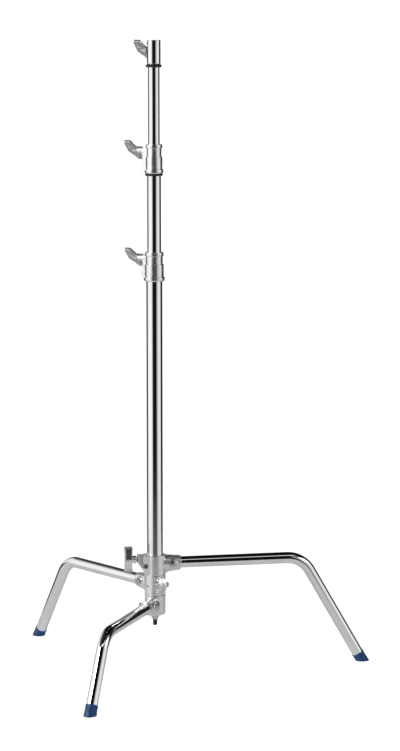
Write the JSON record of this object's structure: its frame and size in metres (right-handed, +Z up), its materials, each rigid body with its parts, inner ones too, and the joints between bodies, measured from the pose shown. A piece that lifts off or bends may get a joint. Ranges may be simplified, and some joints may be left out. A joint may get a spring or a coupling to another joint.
{
  "type": "light stand",
  "caption": "Chromed three-section stand with a sliding leg, a turning leg and a fixed leg, bent steel legs, wing-knob riser clamps and a clamping socket on top.",
  "frame": {"origin": "on the column axis at floor level", "axes": "+Z up along the column; the top leg points 10.8 degrees from +X towards +Y"},
  "size_m": [0.7726, 0.7225, 1.3852],
  "materials": {
    "chromed_tube": "bright plated",
    "chromed_collar": "bright plated casting",
    "cast_hub": "plated, fine cast grain",
    "cast_knob": "satin plated",
    "cast_handle": "satin plated",
    "plated_steel": "plated",
    "screw_steel": "plated",
    "black_steel": "black oxide",
    "brass": "turned",
    "blue_pad": "matt",
    "black_rubber": "matt",
    "black_plastic": "matt",
    "white_plastic": "matt",
    "black_grip": "fine cross ribs"
  },
  "bodies": {
    "column": {"column_tube": "chromed_tube", "column_plug": "black_steel", "lower_collar": "chromed_collar", "base_casting": "cast_hub", "front_leg": "chromed_tube", "front_bolt": "plated_steel", "front_nut": "plated_steel", "front_foot": "blue_pad", "centre_stud": "black_steel", "base_washer": "plated_steel", "cone_nut": "plated_steel"},
    "lower_riser": {"lower_riser": "chromed_tube", "lower_guide": "black_plastic", "upper_collar": "chromed_collar", "collar_stop": "black_rubber"},
    "upper_riser": {"upper_riser": "chromed_tube", "upper_guide": "black_plastic", "receiver": "chromed_tube", "receiver_stop": "black_rubber"},
    "lower_clamp_shoe": {"lower_shoe": "brass"},
    "lower_clamp_knob": {"lower_screw": "screw_steel", "lower_knob": "cast_knob"},
    "upper_clamp_shoe": {"upper_shoe": "brass"},
    "upper_clamp_knob": {"upper_screw": "screw_steel", "upper_knob": "cast_knob"},
    "top_clamp_tip": {"top_tip": "brass"},
    "top_clamp_knob": {"top_screw": "screw_steel", "top_knob": "cast_knob"},
    "turning_leg": {"turning_casting": "cast_hub", "left_leg": "chromed_tube", "left_bolt": "plated_steel", "left_nut": "plated_steel", "left_foot": "blue_pad", "clamp_bolt": "plated_steel", "clamp_nut": "plated_steel", "detent_screw": "black_steel"},
    "leg_liner": {"liner": "white_plastic"},
    "sliding_leg": {"sliding_casting": "cast_hub", "right_leg": "chromed_tube", "right_bolt": "plated_steel", "right_nut": "plated_steel", "right_foot": "blue_pad", "liner_screw": "black_steel"},
    "brake_pad": {"brake_shoe": "brass"},
    "t_handle": {"t_screw": "black_steel", "t_handle": "cast_handle", "t_grips": "black_grip"}
  },
  "joints": [
    {"name": "lower_riser_slide", "type": "slide", "parent": "column", "child": "lower_riser", "axis": [0, 0, 1], "range_m": [-0.1645, 0.511]},
    {"name": "upper_riser_slide", "type": "slide", "parent": "lower_riser", "child": "upper_riser", "axis": [0, 0, 1], "range_m": [-0.164, 0.565]},
    {"name": "leg_slide", "type": "slide", "parent": "column", "child": "leg_liner", "axis": [0, 0, 1], "range_m": [0, 0.585]},
    {"name": "sliding_leg_turn", "type": "hinge", "parent": "leg_liner", "child": "sliding_leg", "pos_m": [0, 0, 0.2425], "axis": [0, 0, 1], "range_deg": [-120, 0]},
    {"name": "turning_leg_turn", "type": "hinge", "parent": "column", "child": "turning_leg", "pos_m": [0, 0, 0.1975], "axis": [0, 0, 1], "range_deg": [0, 120]},
    {"name": "lower_shoe_travel", "type": "slide", "parent": "column", "child": "lower_clamp_shoe", "axis": [-0.8192, 0.5736, 0], "range_m": [0, 0.0025]},
    {"name": "lower_knob_turn", "type": "hinge", "parent": "lower_clamp_shoe", "child": "lower_clamp_knob", "pos_m": [0, 0, 0.916], "axis": [-0.8192, 0.5736, 0], "range_deg": [0, 722]},
    {"name": "upper_shoe_travel", "type": "slide", "parent": "lower_riser", "child": "upper_clamp_shoe", "axis": [-0.8192, 0.5736, 0], "range_m": [0, 0.0025]},
    {"name": "upper_knob_turn", "type": "hinge", "parent": "upper_clamp_shoe", "child": "upper_clamp_knob", "pos_m": [0, 0, 1.1485], "axis": [-0.8192, 0.5736, 0], "range_deg": [0, 722]},
    {"name": "top_tip_travel", "type": "slide", "parent": "upper_riser", "child": "top_clamp_tip", "axis": [-0.8192, 0.5736, 0], "range_m": [-0.00125, 0.0025]},
    {"name": "top_knob_turn", "type": "hinge", "parent": "top_clamp_tip", "child": "top_clamp_knob", "pos_m": [0, 0, 1.363], "axis": [-0.8192, 0.5736, 0], "range_deg": [-361, 722]},
    {"name": "brake_travel", "type": "slide", "parent": "sliding_leg", "child": "brake_pad", "axis": [-0.9823, -0.1874, 0], "range_m": [0, 0.0035]},
    {"name": "t_handle_turn", "type": "hinge", "parent": "brake_pad", "child": "t_handle", "pos_m": [0, 0, 0.252], "axis": [-0.9823, -0.1874, 0], "range_deg": [0, 722]}
  ],
  "couplings": [
    {"joint": "lower_knob_turn", "follows": "lower_shoe_travel", "rad_per_m": 5026.5},
    {"joint": "upper_knob_turn", "follows": "upper_shoe_travel", "rad_per_m": 5026.5},
    {"joint": "top_knob_turn", "follows": "top_tip_travel", "rad_per_m": 5026.5},
    {"joint": "t_handle_turn", "follows": "brake_travel", "rad_per_m": 3590.4}
  ]
}
